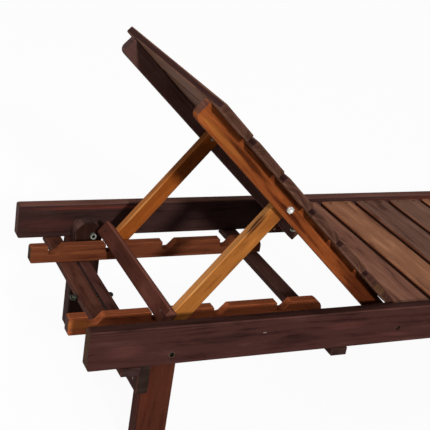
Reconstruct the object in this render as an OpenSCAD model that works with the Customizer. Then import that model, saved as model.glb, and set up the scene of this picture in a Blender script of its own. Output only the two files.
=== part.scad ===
// Folding sun lounger in oiled hardwood.
// The backrest stands on a prop frame whose crossbar sits in two notched racks.
// Both pairs of legs fold under the seat. Lengths are in millimetres, +Z is up
// and +X points from the head end to the foot end. The origin is on the ground,
// under the middle of the lounger.

/* [Overall] */
// Length over the side rails
lounger_l = 1950; // [1900:10:2050]
// Width over the side rails
lounger_w = 620; // [590:5:680]
// Height of the side rails' top edge above the ground
seat_h = 340; // [310:5:380]

/* [Side rails] */
// Height of a side rail
rail_h = 88; // [86:1:96]
// Thickness of a side rail
rail_t = 28; // [26:1:32]
// Radius at the top corners of a side rail's ends
rail_top_r = 8; // [4:1:12]
// Radius at the bottom corners of a side rail's ends
rail_foot_r = 10; // [4:1:14]
// Radius of a side rail's long edges
rail_edge_r = 5; // [2:0.5:7]

/* [Seat] */
// Thickness of a slat of the seat or the backrest
slat_t = 17.5; // [15:0.5:20]
// Radius of a slat's long edges
slat_edge_r = 5; // [1.5:0.5:6]
// Radius of a slat's corners, seen from above
slat_corner_r = 3; // [1:0.5:6]
// How far the seat slats' top lies below the side rails' top
seat_drop = 13; // [11:0.5:16]
// Gap between two seat slats
seat_gap = 13.45; // [10:0.05:18]
// Distance from the backrest's pivot to the first seat slat
seat_start = 11; // [10:0.5:14]
// Distance from the last seat slat to the side rails' foot end
seat_margin = 27; // [15:1:40]
// Gap between the end of a seat slat and the side rail
seat_side_gap = 1; // [0.5:0.5:3]
// Thickness of a ledger under the seat slats
ledger_t = 20; // [18:1:24]
// Height of a ledger
ledger_h = 45.5; // [42:0.5:50]
// Length of the spacer block at the backrest's pivot
block_l = 112; // [90:2:120]
// Depth of the step in a spacer block that clears the backrest's lowest slat when flat
block_step = 4; // [2:0.5:8]

/* [Cross boards] */
// Width of a cross board under the side rails
board_w = 40; // [36:0.5:50]
// Thickness of a cross board
board_t = 18; // [16:1:22]
// Radius of a cross board's edges
board_edge_r = 2.5; // [1:0.5:4]

/* [Notched racks] */
// Length of a rack, from the side rails' head end
rack_l = 593.5; // [580:0.5:620]
// Height of a rack
rack_h = 42; // [38:1:46]
// Thickness of a rack
rack_t = 23.1; // [20:0.1:26]
// Radius of a rack's top corner at its foot end
rack_nose_r = 25; // [16:1:34]
// Radius of a rack's other corners
rack_corner_r = 7; // [3:0.5:10]
// Radius of a rack's long edges
rack_edge_r = 2.5; // [1:0.5:4]
// How far a rack runs on past the middle cross board
rack_overhang = 4.5; // [2:0.5:30]
// Depth of a notch
notch_depth = 20.5; // [17:0.5:24]
// Length of a notch's floor
notch_floor = 19.5; // [16:0.5:24]
// Length of a notch's opening at the rack's top edge
notch_mouth = 38; // [34:0.5:46]
// Radius at the bottom of a notch, beside its upright wall
notch_r = 6; // [2:0.5:8]
// Radius at the bottom of a notch, beside its slope
notch_slope_r = 8; // [4:0.5:12]
// Radius of a notch's lip
lip_r = 2.5; // [1:0.5:3.5]
// Usual distance from notch to notch
notch_pitch = 145; // [130:1:150]

/* [Backrest] */
// Distance from the side rails' head end to the backrest's pivot
back_pivot_x = 710.5; // [700:0.5:740]
// Depth of the backrest's pivot below the side rails' top
back_pivot_drop = 51.5; // [51:0.5:55]
// Angle of the backrest above the level
back_angle = 42.85; // [42:0.05:44]
// Distance from the pivot to the head end of a backrest rail
back_rail_l = 696; // [680:1:702]
// Length of a backrest rail behind the pivot
back_tail = 26.3; // [20:0.1:27]
// Height of a backrest rail
back_rail_h = 41.2; // [36:0.1:42]
// Height of a backrest rail below its pivot
back_rail_low = 21.9; // [17:0.1:22.5]
// Thickness of a backrest rail
back_rail_t = 26; // [22:0.5:30]
// Radius of a backrest rail's lower head corner
back_nose_r = 16; // [8:1:18]
// Radius of a backrest rail's edges
back_edge_r = 3; // [1.5:0.5:5]
// Distance from the pivot to the lowest backrest slat
back_slat_start = 31; // [30:0.5:60]
// Width of the lowest backrest slat
back_low_w = 108.5; // [97:0.5:110]
// Gap between two backrest slats
back_gap = 14.5; // [10:0.5:18]
// Distance from the pivot to the head edge of the top slat
back_slat_end = 697; // [670:1:698]
// Gap between the end of a backrest slat and the side rail
back_side_gap = 12; // [8:0.5:20]
// How far the backrest slats run out past the backrest rails
back_slat_over = 40.3; // [38:0.1:50]

/* [Prop frame] */
// Distance from the backrest's pivot to the props' pivot, along the backrest
prop_pivot_s = 383.7; // [375:0.1:384]
// Depth of the props' pivot below the backrest pivot's line
prop_pivot_low = 1.9; // [1.5:0.1:4]
// Distance from the props' pivot to the lower end of the props
prop_l = 354; // [350:0.5:360]
// Width of a prop from its pivot line to its head face
prop_head_w = 15.9; // [12:0.1:17]
// Width of a prop from its pivot line to its foot face
prop_foot_w = 21.4; // [16:0.1:24]
// Thickness of a prop
prop_t = 21.6; // [18:0.1:24]
// Radius of a prop's edges
prop_edge_r = 2.5; // [1:0.5:4]
// Radius of a prop's lower foot corner
prop_toe_r = 12; // [4:1:16]
// Gap between a prop and the backrest rail beside it
prop_gap = 0.8; // [0.5:0.1:2]
// Gap between a prop and the rack beside it
rack_gap = 8.5; // [6:0.5:12]
// Width of the crossbar, along the props
bar_w = 37; // [28:0.5:40]
// Thickness of the crossbar
bar_h = 22; // [18:0.5:26]
// How far the crossbar runs out past the props
bar_over = 14.6; // [8:0.1:15]
// Clearance between the crossbar and the lip that it rests on
bar_rest_gap = 0.25; // [0.15:0.05:0.4]

/* [Legs] */
// Distance from the side rails' end to the legs' pivot
leg_pivot_x = 175.8; // [165:0.1:200]
// Depth of the legs' pivot below the side rails' top
leg_pivot_drop = 66; // [66:0.5:68]
// Distance from the pivot to the leg's centre line
leg_offset = 9.5; // [6:0.1:12]
// Width of a leg
leg_w = 68; // [60:1:68]
// Thickness of a leg
leg_t = 42; // [30:1:46]
// Radius of a leg's long edges
leg_edge_r = 3; // [1.5:0.5:5]
// Width of the bevel at the foot of a leg
foot_bevel_w = 10; // [4:1:14]
// Height of the bevel at the foot of a leg
foot_bevel_h = 20; // [8:1:26]
// Gap between a leg and the rail or ledger beside it
leg_gap = 0.5; // [0.3:0.1:1.5]
// Thickness of a stretcher between two legs
stretcher_t = 26; // [22:1:30]
// Height of a stretcher
stretcher_h = 78; // [60:0.5:84]
// How far a stretcher runs out past the legs, under the side rails
stretcher_over = 6; // [0:0.5:20]
// Depth of the stretcher's housing in the leg's edge
housing = 11.9; // [8:0.1:16]
// Clearance between a stretcher and the side rails above it
stretcher_gap = 0.5; // [0.3:0.1:1]
// Gap between a stretcher and the cross board beside it
board_gap = 7; // [0.5:0.5:10]

/* [Fasteners] */
// Radius of a pivot bolt or lock bolt
bolt_r = 4; // [3:0.5:5]
// Radius of a prop's bolt
prop_bolt_r = 3; // [2.5:0.5:4]
// Running clearance round a bolt
bolt_play = 0.08; // [0.04:0.01:0.1]
// Radius of a leg bolt's flat head and flat nut
leg_head_r = 7.6; // [6.5:0.1:9]
// Thickness of a leg bolt's flat head
leg_head_t = 2.4; // [1.5:0.1:3.5]
// Height of a leg bolt's flat nut
leg_nut_h = 5; // [4:0.1:7]
// Depth of a leg bolt's counterbore
leg_bore_depth = 4; // [3.5:0.5:8]
// Radius of a backrest bolt's head
back_head_r = 5; // [5:0.1:7]
// Thickness of a backrest bolt's head
back_head_t = 4; // [3:0.5:6]
// Depth of a backrest bolt's counterbore
back_bore_depth = 12; // [8:0.5:16]
// Radius of a leg bolt's washer
washer_r = 8; // [7.8:0.1:12]
// Thickness of a washer
washer_t = 1.6; // [1:0.1:2.5]
// Radius over the corners of a cap nut
nut_r = 7.2; // [6:0.1:8]
// Height of the hexagon of a cap nut
nut_h = 5; // [4:0.1:8]
// Gap between a turning piece and the head, washer or nut beside it
face_gap = 0.3; // [0.2:0.05:0.5]
// Radius of a wood screw
screw_r = 2; // [1.5:0.1:2.5]
// Radius of a wood screw's head
screw_head_r = 4; // [3.5:0.1:5]
// Height of a wood screw's tapered head
screw_head_h = 2.4; // [1.8:0.1:3]
// How far a wood screw's head lies below the wood
screw_sink = 0.4; // [0.2:0.1:0.6]
// Distance between the two screws at each end of a slat
screw_pitch = 52; // [40:1:60]

/* [Hidden] */
$fn = 48;

// Overrun of the cuts, and clearance round a wood screw
over = 2;
screw_play = 0.05;

// Colours of the woods and metals
dark_wood = "#4a2a22";
orange_wood = "#9a5a28";
slat_wood = "#7a4f3c";
steel = "#b9b9b4";
dark_steel = "#3a3836";

// Counts of the slats
seat_count = 11;
back_count = 6;

// Faces across the width, from the outside in
rail_out = lounger_w / 2;
rail_in = rail_out - rail_t;
rail_mid = rail_out - rail_t / 2;
ledger_in = rail_in - ledger_t;
ledger_mid = rail_in - ledger_t / 2;
back_slat_y = rail_in - back_side_gap;
back_out = back_slat_y - back_slat_over;
back_in = back_out - back_rail_t;
back_mid = back_out - back_rail_t / 2;
prop_out = back_in - prop_gap;
prop_in = prop_out - prop_t;
prop_mid = prop_out - prop_t / 2;
rack_out = prop_in - rack_gap;
rack_in = rack_out - rack_t;
rack_mid = rack_out - rack_t / 2;
block_in = back_out + prop_gap;
head_leg_out = rail_in - leg_gap;
foot_leg_out = ledger_in - leg_gap;

// Heights below the side rails' top
slat_low = -seat_drop - slat_t;
ledger_low = slat_low - ledger_h;
rack_top = rack_h - rail_h;
board_low = -rail_h - board_t;
board_mid = -rail_h - board_t / 2;

// Lengths along the side rails, from the head end
leg_x = leg_pivot_x - leg_offset;
stretcher_x = leg_x - leg_w / 2 + housing - stretcher_t;
board_x = stretcher_x - board_gap - board_w;
rack_board_x = rack_l - rack_overhang - board_w;
block_x = back_pivot_x - block_l / 2;
seat_x = back_pivot_x + seat_start;
seat_end = lounger_l - seat_margin;
seat_slat_w = (seat_end - seat_x - (seat_count - 1) * seat_gap) / seat_count;
seat_pitch = seat_slat_w + seat_gap;

// The backrest's lowest slat has its own width, and the others share the rest
back_next = back_slat_start + back_low_w + back_gap;
back_pitch = (back_slat_end - back_next + back_gap) / (back_count - 1);
function back_slat_x(i) = i > 0 ? back_next + (i - 1) * back_pitch : back_slat_start;
function back_slat_w(i) = i > 0 ? back_pitch - back_gap : back_low_w;

// The stretcher hangs from the rails' bottom edge
stretcher_top = -rail_h - stretcher_gap;
stretcher_low = stretcher_top - stretcher_h;

// Backrest in its own frame: x from the pivot to the head, z up out of the slats' side
back_rail_top = back_rail_h - back_rail_low;
back_slat_top = back_rail_top + slat_t;

// Place of the props' pivot along and below the side rails' top
prop_x = back_pivot_x - prop_pivot_s * cos(back_angle) - prop_pivot_low * sin(back_angle);
prop_z = prop_pivot_s * sin(back_angle) - prop_pivot_low * cos(back_angle) - back_pivot_drop;

// The crossbar's end face rests on the lip of the second notch. The lip's centre lies
// at lip_u along the props and lip_v across them, and at the height of the racks' top.
rest_share = 0.927;
lip_u = prop_l + lip_r + bar_rest_gap;
lip_v = prop_head_w + rest_share * bar_h;
lip_reach = norm([lip_u, lip_v]);
lip_drop = prop_z - rack_top + lip_r;
lip_angle = asin(lip_drop / lip_reach);
prop_angle = lip_angle + atan2(lip_v, lip_u);
rest_notch_x = prop_x - lip_reach * cos(lip_angle) + lip_r;
// Places of the four notches, as shares of the pitch from the one in use
notch_shares = [-0.96, 0, 0.99, 2.05];

// Screws: lengths as shares of what they hold, and places as shares of the piece
slat_screw_share = 2;
board_screw_share = 2.6;
ledger_screw_l_share = 1.9;
stretcher_screw_l_share = 2;
bar_screw_share = 1.8;
slat_screw_l = slat_screw_share * slat_t;
board_screw_l = board_screw_share * board_t;
ledger_screw_l = ledger_screw_l_share * ledger_t;
block_screw_l = rail_in - block_in + rail_t / 2;
stretcher_screw_l = stretcher_screw_l_share * stretcher_t;
bar_screw_l = bar_screw_share * bar_h;
stretcher_screw_shares = [0.26, 0.64];
ledger_screw_count = 6;
ledger_screw_share = 0.04;
block_screw_share = 0.34;
block_screw_height_share = 0.25;

// Bolts and nuts: forms as shares of the head, nut or bolt that they belong to
bore_share = 1.1;
hex_socket_share = 0.55;
nut_bore_share = 0.6;
nut_socket_share = 0.3;
nut_dome_share = 0.82;
prop_nut_share = 1.1;
prop_head_share = 1.6;
lock_slot_share = 1.15;
wing_hub_share = 1.7;
wing_tip_share = 0.8;
wing_span_share = 5.6;
wing_t_share = 0.7;
lock_tail_share = 0.6;
leg_bore_r = bore_share * leg_head_r;
back_bore_r = bore_share * back_head_r;
nut_dome_r = nut_dome_share * nut_r;
prop_nut_r = prop_nut_share * nut_r;
prop_head_r = prop_head_share * prop_bolt_r;
prop_head_t = prop_bolt_r;
lock_slot_r = lock_slot_share * bolt_r;
lock_travel = 5.2;
wing_hub_r = wing_hub_share * bolt_r;
wing_hub_h = 2 * bolt_r;
wing_span = wing_span_share * bolt_r;
wing_t = wing_t_share * bolt_r;
lock_tail = lock_tail_share * bolt_r;

// Rectangle with equal round corners
module soft_rect(w, h, r) {
    translate([r, 0]) square([w - 2 * r, h]);
    translate([0, r]) square([w, h - 2 * r]);
    for (x = [r, w - r], y = [r, h - r]) {
        translate([x, y]) circle(r = r);
    }
}

// Rectangle with four radii, anticlockwise from the corner at the origin
module corner_rect(w, h, r) {
    polygon([
        [r[0], 0], [w - r[1], 0], [w, r[1]], [w, h - r[2]],
        [w - r[2], h], [r[3], h], [0, h - r[3]], [0, r[0]],
    ]);
    translate([r[0], r[0]]) circle(r = r[0]);
    translate([w - r[1], r[1]]) circle(r = r[1]);
    translate([w - r[2], h - r[2]]) circle(r = r[2]);
    translate([r[3], h - r[3]]) circle(r = r[3]);
}

// Flat shape drawn along and up, made as thick as the span y
module thick_y(y) {
    translate([0, y[1], 0]) rotate([90, 0, 0]) linear_extrude(y[1] - y[0]) children();
}

// Timber along x between the spans x, y and z, with round long edges and end corners
module timber_x(x, y, z, edge_r, corners) {
    intersection() {
        translate([x[0] - over, y[0], z[0]]) rotate([90, 0, 90])
            linear_extrude(x[1] - x[0] + 2 * over)
                soft_rect(y[1] - y[0], z[1] - z[0], edge_r);
        thick_y([y[0] - over, y[1] + over]) translate([x[0], z[0]])
            corner_rect(x[1] - x[0], z[1] - z[0], corners);
    }
}

// Timber along y between the spans x, y and z, with round long edges and plan corners
module timber_y(x, y, z, edge_r, corner_r) {
    intersection() {
        thick_y([y[0] - over, y[1] + over]) translate([x[0], z[0]])
            soft_rect(x[1] - x[0], z[1] - z[0], edge_r);
        translate([x[0], y[0], z[0] - over]) linear_extrude(z[1] - z[0] + 2 * over)
            soft_rect(x[1] - x[0], y[1] - y[0], corner_r);
    }
}

// Straight hole or shaft along y
module round_y(x, y, z, r) {
    translate([x, y[1], z]) rotate([90, 0, 0]) cylinder(r = r, h = y[1] - y[0]);
}

// Straight hole or shaft along x
module round_x(x, y, z, r) {
    translate([x[0], y, z]) rotate([0, 90, 0]) cylinder(r = r, h = x[1] - x[0]);
}

// Countersunk screw that points down, with its head's top at the origin
module screw(l) {
    rotate_extrude($fn = 24) polygon([
        [0, 0], [screw_head_r, 0], [screw_r, -screw_head_h], [screw_r, -l], [0, -l],
    ]);
}

// Hole for a screw, open above its head
module screw_hole(l) {
    rotate_extrude($fn = 24) polygon([
        [0, over], [screw_head_r + screw_play, over], [screw_head_r + screw_play, 0],
        [screw_r + screw_play, -screw_head_h], [screw_r + screw_play, -l - screw_play],
        [0, -l - screw_play],
    ]);
}

// Hexagon with a dome on it, with its seat at the origin
module domed_hexagon(r) {
    cylinder(r = r, h = nut_h, $fn = 6);
    translate([0, 0, nut_h]) rotate_extrude() intersection() {
        circle(r = nut_dome_r);
        square([nut_dome_r, nut_dome_r]);
    }
}

// Cap nut on +z, blind on the far side
module cap_nut(r, bore_r) {
    difference() {
        domed_hexagon(r);
        translate([0, 0, -over]) cylinder(r = bore_r + bolt_play, h = nut_h + over);
    }
}

// Flat round nut on +z, blind, with a hexagon socket in its far face
module socket_nut(r, h, bore_r) {
    difference() {
        cylinder(r = r, h = h);
        translate([0, 0, -over])
            cylinder(r = bore_r + bolt_play, h = nut_bore_share * h + over);
        translate([0, 0, h - nut_socket_share * h])
            cylinder(r = hex_socket_share * r, h = nut_socket_share * h + over, $fn = 6);
    }
}

// Washer on +z round a bolt
module washer(r, bore_r) {
    difference() {
        cylinder(r = r, h = washer_t);
        translate([0, 0, -over]) cylinder(r = bore_r + bolt_play, h = washer_t + 2 * over);
    }
}

// Flat head with a hexagon socket: the shaft leaves it along +z from the origin
module bolt(head_r, head_t, shaft_r, l) {
    difference() {
        union() {
            translate([0, 0, -head_t]) cylinder(r = head_r, h = head_t);
            cylinder(r = shaft_r, h = l);
        }
        translate([0, 0, -head_t - over])
            cylinder(r = hex_socket_share * head_r, h = head_t / 2 + over, $fn = 6);
    }
}

// Turns what points up so that it points along -y from the place x, y, z
module inward(x, y, z) {
    translate([x, y, z]) rotate([90, 0, 0]) children();
}

// From the side rails' top at the head end to the lounger's own frame
module bench() {
    translate([-lounger_l / 2, 0, seat_h]) children();
}

// Left side as drawn, or its mirror image on the right
module on_side(s) {
    mirror([0, s < 0 ? 1 : 0, 0]) children();
}

// Head end as drawn, or its mirror image at the foot end
module at_end(e) {
    translate([e < 0 ? lounger_l : 0, 0, 0]) mirror([e < 0 ? 1 : 0, 0, 0]) children();
}

// Backrest's own frame
module on_back() {
    translate([back_pivot_x, 0, -back_pivot_drop]) rotate([0, back_angle, 0])
        mirror([1, 0, 0]) children();
}

// Prop frame's own frame: x down along the props, z out of their head face
module on_prop() {
    translate([prop_x, 0, prop_z]) rotate([0, -prop_angle, 0]) mirror([1, 0, 0]) children();
}

// Places of the screws at one end of a seat slat
module seat_screw_places(i) {
    for (d = [-1, 1]) {
        translate([
            seat_x + i * seat_pitch + seat_slat_w / 2 + d * screw_pitch / 2,
            ledger_mid, -seat_drop - screw_sink,
        ]) children();
    }
}

// Places of the screws at one end of a backrest slat, in the backrest's frame
module back_screw_places(i) {
    for (d = [-1, 1]) {
        translate([
            back_slat_x(i) + back_slat_w(i) / 2 + d * screw_pitch / 2,
            back_mid, back_slat_top - screw_sink,
        ]) children();
    }
}

// Places of the screws that come up through the cross boards on the left
module board_screw_place(x, y) {
    translate([x + board_w / 2, y, board_low + screw_sink]) rotate([180, 0, 0]) children();
}

// Places of the screws through a ledger, and through a spacer block, into the side rail
module ledger_screw_places() {
    ledger_x = block_x + block_l;
    for (i = [0:ledger_screw_count - 1]) {
        share = ledger_screw_share + i * (1 - 2 * ledger_screw_share) / (ledger_screw_count - 1);
        inward_screw(ledger_x + share * (seat_end - ledger_x), ledger_in) children();
    }
}

module block_screw_places() {
    for (d = [-1, 1]) {
        inward_screw(back_pivot_x + d * block_screw_share * block_l, block_in) children();
    }
}

module inward_screw(x, y) {
    translate([x, y + screw_sink, ledger_low + block_screw_height_share * ledger_h])
        rotate([90, 0, 0]) children();
}

// Places of the screws through a stretcher into the left leg
module stretcher_screw_places(leg_out) {
    for (share = stretcher_screw_shares) {
        translate([
            stretcher_x + screw_sink, leg_out - leg_t / 2,
            stretcher_low + (1 - share) * (stretcher_h - board_t),
        ]) rotate([0, -90, 0]) children();
    }
}

// Place of the screw through the crossbar into the left prop, in the props' frame
module bar_screw_place() {
    translate([prop_l - bar_w / 2, prop_mid, prop_head_w + bar_h - screw_sink]) children();
}

module side_rail(s) {
    color(dark_wood) bench() on_side(s) difference() {
        timber_x(
            [0, lounger_l], [rail_in, rail_out], [-rail_h, 0], rail_edge_r,
            [rail_foot_r, rail_foot_r, rail_top_r, rail_top_r]
        );
        for (e = [-1, 1]) {
            at_end(e) {
                round_y(leg_pivot_x, [rail_in - over, rail_out], -leg_pivot_drop, bolt_r + bolt_play);
                round_y(
                    leg_pivot_x, [rail_out - leg_bore_depth, rail_out + over],
                    -leg_pivot_drop, leg_bore_r
                );
            }
        }
        round_y(back_pivot_x, [rail_in - over, rail_out], -back_pivot_drop, bolt_r + bolt_play);
        round_y(
            back_pivot_x, [rail_out - back_bore_depth, rail_out + over],
            -back_pivot_drop, back_bore_r
        );
        for (x = [board_x, rack_board_x, lounger_l - board_x - board_w]) {
            board_screw_place(x, rail_mid) screw_hole(board_screw_l);
        }
        ledger_screw_places() screw_hole(ledger_screw_l);
        block_screw_places() screw_hole(block_screw_l);
    }
}

module ledger(s) {
    color(dark_wood) bench() on_side(s) difference() {
        timber_x(
            [block_x + block_l, seat_end], [ledger_in, rail_in], [ledger_low, slat_low],
            board_edge_r, [board_edge_r, board_edge_r, board_edge_r, board_edge_r]
        );
        at_end(-1)
            round_y(leg_pivot_x, [ledger_in - over, rail_in + over], -leg_pivot_drop, bolt_r + bolt_play);
        ledger_screw_places() screw_hole(ledger_screw_l);
        for (i = [0:seat_count - 1]) {
            seat_screw_places(i) screw_hole(slat_screw_l);
        }
    }
}

module spacer_block(s) {
    color(dark_wood) bench() on_side(s) difference() {
        timber_x(
            [block_x, block_x + block_l], [block_in, rail_in], [ledger_low, slat_low],
            board_edge_r, [board_edge_r, board_edge_r, board_edge_r, board_edge_r]
        );
        translate([block_x - over, block_in - over, slat_low - block_step])
            cube([
                back_pivot_x - back_slat_start + block_step - block_x + over,
                rail_in - block_in + 2 * over, block_step + over,
            ]);
        round_y(back_pivot_x, [block_in - over, rail_in + over], -back_pivot_drop, bolt_r + bolt_play);
        block_screw_places() screw_hole(block_screw_l);
        seat_screw_places(0) screw_hole(slat_screw_l);
    }
}

// Cut of one notch, with the wall at the origin and the rack's top edge at height zero.
// Its floor runs into its slope in a round bend.
module notch() {
    slope = atan2(notch_depth, notch_mouth - notch_floor);
    bend = notch_slope_r * tan(slope / 2);
    difference() {
        union() {
            polygon([
                [-lip_r, over], [-lip_r, 0], [0, -lip_r], [0, notch_r - notch_depth],
                [notch_r, -notch_depth], [notch_floor - bend, -notch_depth],
                [notch_floor + bend * cos(slope), bend * sin(slope) - notch_depth],
                [notch_mouth, 0], [notch_mouth, over],
            ]);
            translate([notch_r, notch_r - notch_depth]) circle(r = notch_r);
            translate([notch_floor - bend, notch_slope_r - notch_depth])
                circle(r = notch_slope_r);
        }
        translate([-lip_r, -lip_r]) circle(r = lip_r);
    }
}

module rack(s) {
    color(orange_wood) bench() on_side(s) difference() {
        timber_x(
            [0, rack_l], [rack_in, rack_out], [-rail_h, rack_top], rack_edge_r,
            [rack_corner_r, rack_edge_r, rack_nose_r, rack_corner_r]
        );
        thick_y([rack_in - over, rack_out + over]) for (share = notch_shares) {
            translate([rest_notch_x + share * notch_pitch, rack_top]) notch();
        }
        for (x = [board_x, rack_board_x]) {
            board_screw_place(x, rack_mid) screw_hole(board_screw_l);
        }
    }
}

// Cross board on the left end's places, with holes for its screws at the widths ys
module cross_board(x, ys) {
    difference() {
        timber_y(
            [x, x + board_w], [-rail_out, rail_out], [board_low, -rail_h],
            board_edge_r, board_edge_r
        );
        for (s = [-1, 1], y = ys) {
            on_side(s) board_screw_place(x, y) screw_hole(board_screw_l);
        }
    }
}

// Slot that the lock bolt leaves downward when the legs fold
module lock_slot() {
    round_x([board_x - over, board_x + board_w + over], 0, board_mid, lock_slot_r);
    translate([board_x - over, -lock_slot_r, board_low - over])
        cube([board_w + 2 * over, 2 * lock_slot_r, board_mid - board_low + over]);
}

module end_cross_board(e, ys) {
    color(dark_wood) bench() at_end(e) difference() {
        cross_board(board_x, ys);
        lock_slot();
    }
}

module rack_cross_board() {
    color(dark_wood) bench() cross_board(rack_board_x, [rail_mid, rack_mid]);
}

module seat_slat(i) {
    x = seat_x + i * seat_pitch;
    y = rail_in - seat_side_gap;
    color(slat_wood) bench() difference() {
        timber_y(
            [x, x + seat_slat_w], [-y, y], [slat_low, -seat_drop], slat_edge_r, slat_corner_r
        );
        for (s = [-1, 1]) {
            on_side(s) seat_screw_places(i) screw_hole(slat_screw_l);
        }
    }
}

module seat_slat_screws() {
    color(steel) bench() for (s = [-1, 1], i = [0:seat_count - 1]) {
        on_side(s) seat_screw_places(i) screw(slat_screw_l);
    }
}

module cross_board_screws() {
    color(steel) bench() for (s = [-1, 1]) {
        on_side(s) {
            for (x = [board_x, rack_board_x, lounger_l - board_x - board_w]) {
                board_screw_place(x, rail_mid) screw(board_screw_l);
            }
            for (x = [board_x, rack_board_x]) {
                board_screw_place(x, rack_mid) screw(board_screw_l);
            }
        }
    }
}

module ledger_screws() {
    color(steel) bench() for (s = [-1, 1]) {
        on_side(s) {
            ledger_screw_places() screw(ledger_screw_l);
            block_screw_places() screw(block_screw_l);
        }
    }
}

// The bolts' shafts end inside their nuts
module backrest_pivot_bolts() {
    head_y = rail_out - back_bore_depth;
    end_y = back_in - face_gap - washer_t - nut_h / 2;
    color(dark_steel) bench() for (s = [-1, 1]) {
        on_side(s) inward(back_pivot_x, head_y, -back_pivot_drop)
            bolt(back_head_r, back_head_t, bolt_r, head_y - end_y);
    }
}

module backrest_pivot_nuts() {
    color(steel) bench() for (s = [-1, 1]) {
        on_side(s) inward(back_pivot_x, back_in - face_gap, -back_pivot_drop) {
            washer(nut_r + washer_t, bolt_r);
            translate([0, 0, washer_t]) cap_nut(nut_r, bolt_r);
        }
    }
}

module leg_pivot_bolts() {
    head_y = rail_out - leg_bore_depth;
    color(steel) bench() for (e = [-1, 1], s = [-1, 1]) {
        leg_in = (e < 0 ? foot_leg_out : head_leg_out) - leg_t;
        end_y = leg_in - face_gap - washer_t - leg_nut_h / 2;
        at_end(e) on_side(s) inward(leg_pivot_x, head_y + leg_head_t, -leg_pivot_drop)
            translate([0, 0, leg_head_t]) bolt(leg_head_r, leg_head_t, bolt_r, head_y - end_y);
    }
}

module leg_pivot_washers() {
    color(steel) bench() for (e = [-1, 1], s = [-1, 1]) {
        leg_in = (e < 0 ? foot_leg_out : head_leg_out) - leg_t;
        at_end(e) on_side(s) inward(leg_pivot_x, leg_in - face_gap, -leg_pivot_drop)
            washer(washer_r, bolt_r);
    }
}

module leg_pivot_nuts() {
    color(steel) bench() for (e = [-1, 1], s = [-1, 1]) {
        leg_in = (e < 0 ? foot_leg_out : head_leg_out) - leg_t;
        at_end(e) on_side(s) inward(leg_pivot_x, leg_in - face_gap - washer_t, -leg_pivot_drop)
            socket_nut(leg_head_r, leg_nut_h, bolt_r);
    }
}

module backrest_rail(s) {
    color(dark_wood) bench() on_back() on_side(s) difference() {
        timber_x(
            [-back_tail, back_rail_l], [back_in, back_out], [-back_rail_low, back_rail_top],
            back_edge_r, [back_edge_r, back_nose_r, back_edge_r, back_edge_r]
        );
        round_y(0, [back_in - over, back_out + over], 0, bolt_r + bolt_play);
        round_y(
            prop_pivot_s, [back_in - over, back_out + over], -prop_pivot_low,
            prop_bolt_r + bolt_play
        );
        for (i = [0:back_count - 1]) {
            back_screw_places(i) screw_hole(slat_screw_l);
        }
    }
}

module backrest_slat(i) {
    x = back_slat_x(i);
    color(slat_wood) bench() on_back() difference() {
        timber_y(
            [x, x + back_slat_w(i)], [-back_slat_y, back_slat_y],
            [back_rail_top, back_slat_top], slat_edge_r, slat_corner_r
        );
        for (s = [-1, 1]) {
            on_side(s) back_screw_places(i) screw_hole(slat_screw_l);
        }
    }
}

module backrest_slat_screws() {
    color(steel) bench() on_back() for (s = [-1, 1], i = [0:back_count - 1]) {
        on_side(s) back_screw_places(i) screw(slat_screw_l);
    }
}

// The props' bolts: head beside the prop's inner face, cap nut on the rail's outer face
module prop_bolts() {
    color(steel) bench() on_back() for (s = [-1, 1]) {
        on_side(s) translate([prop_pivot_s, prop_in - face_gap, -prop_pivot_low])
            rotate([-90, 0, 0])
                bolt(prop_head_r, prop_head_t, prop_bolt_r, back_out - prop_in + face_gap + nut_h / 2);
    }
}

module prop_bolt_nuts() {
    color(steel) bench() on_back() for (s = [-1, 1]) {
        on_side(s) translate([prop_pivot_s, back_out, -prop_pivot_low]) rotate([-90, 0, 0])
            cap_nut(prop_nut_r, prop_bolt_r);
    }
}

// Side outline of a prop: a round head about the middle of its width, and a round toe
module prop_outline() {
    w = prop_head_w + prop_foot_w;
    translate([0, prop_head_w - w / 2]) circle(r = w / 2);
    translate([0, -prop_foot_w]) corner_rect(
        prop_l, w, [prop_edge_r, prop_toe_r, prop_edge_r, prop_edge_r]
    );
}

module prop(s) {
    w = prop_head_w + prop_foot_w;
    color(orange_wood) bench() on_prop() on_side(s) difference() {
        intersection() {
            translate([-w, prop_in, -prop_foot_w]) rotate([90, 0, 90])
                linear_extrude(prop_l + w + over) soft_rect(prop_t, w, prop_edge_r);
            thick_y([prop_in - over, prop_out + over]) prop_outline();
        }
        round_y(0, [prop_in - over, prop_out + over], 0, prop_bolt_r + bolt_play);
        bar_screw_place() screw_hole(bar_screw_l);
    }
}

module prop_crossbar() {
    y = prop_out + bar_over;
    color(dark_wood) bench() on_prop() difference() {
        timber_y(
            [prop_l - bar_w, prop_l], [-y, y], [prop_head_w, prop_head_w + bar_h],
            prop_edge_r, prop_edge_r
        );
        for (s = [-1, 1]) {
            on_side(s) bar_screw_place() screw_hole(bar_screw_l);
        }
    }
}

module prop_crossbar_screws() {
    color(steel) bench() on_prop() for (s = [-1, 1]) {
        on_side(s) bar_screw_place() screw(bar_screw_l);
    }
}

// Side outline of a leg: a round top and a bevelled foot
module leg_outline() {
    x0 = leg_x - leg_w / 2;
    x1 = leg_x + leg_w / 2;
    translate([leg_x, -leg_pivot_drop]) circle(r = leg_w / 2);
    polygon([
        [x0, -leg_pivot_drop], [x0, foot_bevel_h - seat_h], [x0 + foot_bevel_w, -seat_h],
        [x1 - foot_bevel_w, -seat_h], [x1, foot_bevel_h - seat_h], [x1, -leg_pivot_drop],
    ]);
}

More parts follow.
